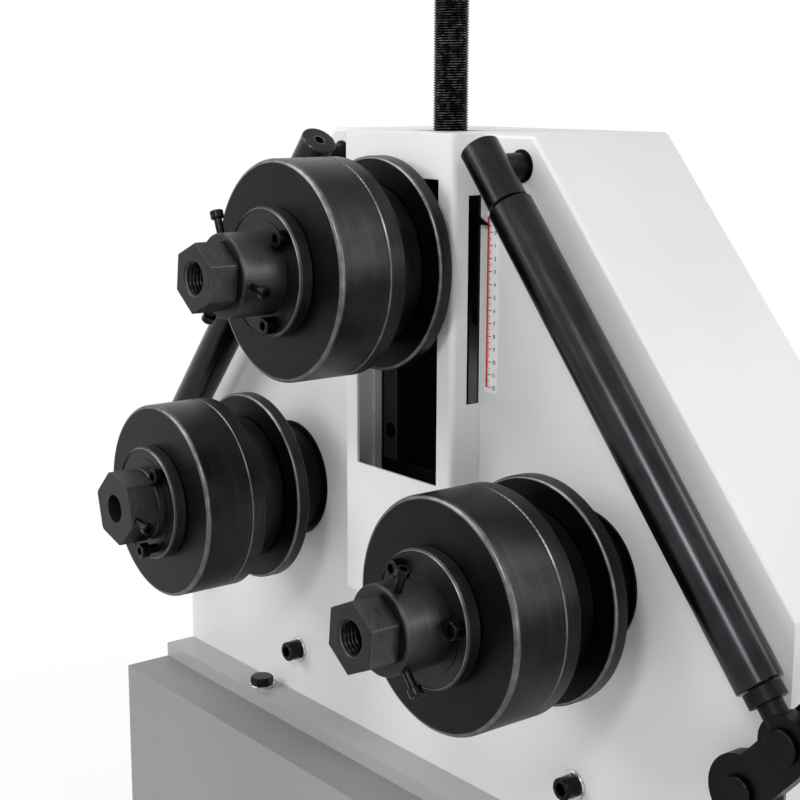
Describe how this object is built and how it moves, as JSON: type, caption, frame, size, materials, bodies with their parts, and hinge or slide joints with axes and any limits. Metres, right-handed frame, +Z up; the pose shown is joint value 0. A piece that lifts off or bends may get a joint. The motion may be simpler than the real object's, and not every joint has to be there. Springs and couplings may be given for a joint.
{
  "type": "ring roller",
  "caption": "Floor-standing three-roll ring roller with a house-shaped body, two geared lower rolls, a screw-adjusted upper roll, side struts and a handwheel",
  "frame": {"origin": "on the floor, at the centre of the four anchor holes in the cabinet feet", "axes": "+X to the operator's right along the machine, +Y to the rear, away from the rolls, +Z up along the spindle"},
  "size_m": [0.898, 0.7115, 1.5053],
  "materials": {
    "white_paint": "satin powder coat",
    "grey_cabinet_paint": "satin powder coat",
    "grey_plate_paint": "satin powder coat",
    "black_turned_steel": "turned and blackened",
    "dark_steel": "ground and blackened",
    "dark_tube": "drawn and blackened",
    "spindle_steel": "threaded and blackened",
    "black_screws": "black oxide",
    "zinc_plate": "zinc plated",
    "gear_steel": "machined",
    "bronze": "machined",
    "scale_face": "matt",
    "motor_paint": "satin",
    "black_paint": "gloss",
    "black_plastic": "gloss"
  },
  "bodies": {
    "frame": {"cabinet": "grey_cabinet_paint", "cabinet_feet": "grey_cabinet_paint", "cabinet_rear_cover": "grey_cabinet_paint", "cover_screws": "zinc_plate", "base_plate": "grey_plate_paint", "base_plate_bolts": "black_screws", "plain_washers": "zinc_plate", "body_housing": "white_paint", "front_column": "white_paint", "front_cap_screws": "black_screws", "lower_bearing_left": "dark_steel", "lower_bearing_right": "dark_steel", "guide_rail_left": "dark_steel", "guide_rail_right": "dark_steel", "stop_bar": "dark_steel", "spindle_nut": "bronze", "strut_pins": "dark_steel", "strut_rods": "dark_steel", "arm_pivot_pins": "dark_steel", "scale_strip": "scale_face", "gear_cover": "white_paint", "gearmotor": "motor_paint", "left_strut_head": "dark_steel", "right_strut_head": "dark_steel"},
    "slide": {"slide_block": "dark_steel", "slide_bearing": "dark_steel", "pointer": "dark_steel", "spindle_retainer": "dark_steel"},
    "spindle_and_wheel": {"spindle": "spindle_steel", "handwheel": "black_paint"},
    "grip": {"handwheel_grip": "black_plastic"},
    "upper_roll": {"upper_shaft": "black_turned_steel", "upper_wide_roller": "black_turned_steel", "upper_narrow_roller": "black_turned_steel", "upper_rear_roller": "black_turned_steel", "upper_hub": "black_turned_steel", "upper_hub_screws": "black_screws", "upper_nut": "black_turned_steel"},
    "left_roll": {"left_shaft": "black_turned_steel", "left_wide_roller": "black_turned_steel", "left_narrow_roller": "black_turned_steel", "left_rear_roller": "black_turned_steel", "left_hub": "black_turned_steel", "left_hub_screws": "black_screws", "left_gear": "gear_steel"},
    "right_roll": {"right_shaft": "black_turned_steel", "right_wide_roller": "black_turned_steel", "right_narrow_roller": "black_turned_steel", "right_rear_roller": "black_turned_steel", "right_hub": "black_turned_steel", "right_hub_screws": "black_screws", "right_nut": "black_turned_steel", "right_gear": "gear_steel"},
    "pinion": {"drive_pinion": "gear_steel"},
    "left_tube": {"left_strut_tube": "dark_tube"},
    "left_eye": {"left_strut_eye": "dark_steel"},
    "left_arm": {"left_side_arm": "dark_steel"},
    "right_tube": {"right_strut_tube": "dark_tube"},
    "right_eye": {"right_strut_eye": "dark_steel"},
    "right_arm": {"right_side_arm": "dark_steel"}
  },
  "joints": [
    {"name": "slide_lift", "type": "slide", "parent": "frame", "child": "slide", "axis": [0, 0, 1], "range_m": [-0.12, 0.008]},
    {"name": "spindle_turn", "type": "hinge", "parent": "slide", "child": "spindle_and_wheel", "pos_m": [0, -0.1575, 1.234], "axis": [0, 0, 1], "range_deg": [-21605, 1445]},
    {"name": "grip_spin", "type": "hinge", "parent": "spindle_and_wheel", "child": "grip", "pos_m": [0.109, -0.1575, 1.434], "axis": [0, 0, 1], "continuous": true},
    {"name": "upper_roll_spin", "type": "hinge", "parent": "slide", "child": "upper_roll", "pos_m": [0, -0.183, 1.132], "axis": [0, 1, 0], "continuous": true},
    {"name": "left_roll_spin", "type": "hinge", "parent": "frame", "child": "left_roll", "pos_m": [-0.19, -0.183, 0.914], "axis": [0, 1, 0], "continuous": true},
    {"name": "right_roll_spin", "type": "hinge", "parent": "frame", "child": "right_roll", "pos_m": [0.19, -0.183, 0.914], "axis": [0, 1, 0], "continuous": true},
    {"name": "pinion_spin", "type": "hinge", "parent": "frame", "child": "pinion", "pos_m": [0, -0.038, 0.914], "axis": [0, 1, 0], "continuous": true},
    {"name": "left_strut_reach", "type": "slide", "parent": "frame", "child": "left_eye", "axis": [-0.6485, 0, -0.7612], "range_m": [0, 0.0195]},
    {"name": "left_tube_turn", "type": "hinge", "parent": "left_eye", "child": "left_tube", "pos_m": [-0.113, -0.2145, 1.211], "axis": [-0.6485, 0, -0.7612], "range_deg": [0, 2812]},
    {"name": "left_arm_swing", "type": "hinge", "parent": "frame", "child": "left_arm", "pos_m": [-0.3592, -0.183, 0.8141], "axis": [0, -1, 0], "range_deg": [0, 16.06]},
    {"name": "right_strut_reach", "type": "slide", "parent": "frame", "child": "right_eye", "axis": [0.6485, 0, -0.7612], "range_m": [0, 0.0195]},
    {"name": "right_tube_turn", "type": "hinge", "parent": "right_eye", "child": "right_tube", "pos_m": [0.113, -0.2145, 1.211], "axis": [0.6485, 0, -0.7612], "range_deg": [0, 2812]},
    {"name": "right_arm_swing", "type": "hinge", "parent": "frame", "child": "right_arm", "pos_m": [0.3592, -0.183, 0.8141], "axis": [0, 1, 0], "range_deg": [0, 16.06]}
  ],
  "couplings": [
    {"joint": "spindle_turn", "follows": "slide_lift", "rad_per_m": 3141.6},
    {"joint": "right_roll_spin", "follows": "left_roll_spin", "ratio": 1},
    {"joint": "pinion_spin", "follows": "left_roll_spin", "ratio": -1.375},
    {"joint": "left_tube_turn", "follows": "left_strut_reach", "rad_per_m": 2513.3},
    {"joint": "left_arm_swing", "follows": "left_strut_reach", "rad_per_m": 14.194},
    {"joint": "right_tube_turn", "follows": "right_strut_reach", "rad_per_m": 2513.3},
    {"joint": "right_arm_swing", "follows": "right_strut_reach", "rad_per_m": 14.194}
  ]
}
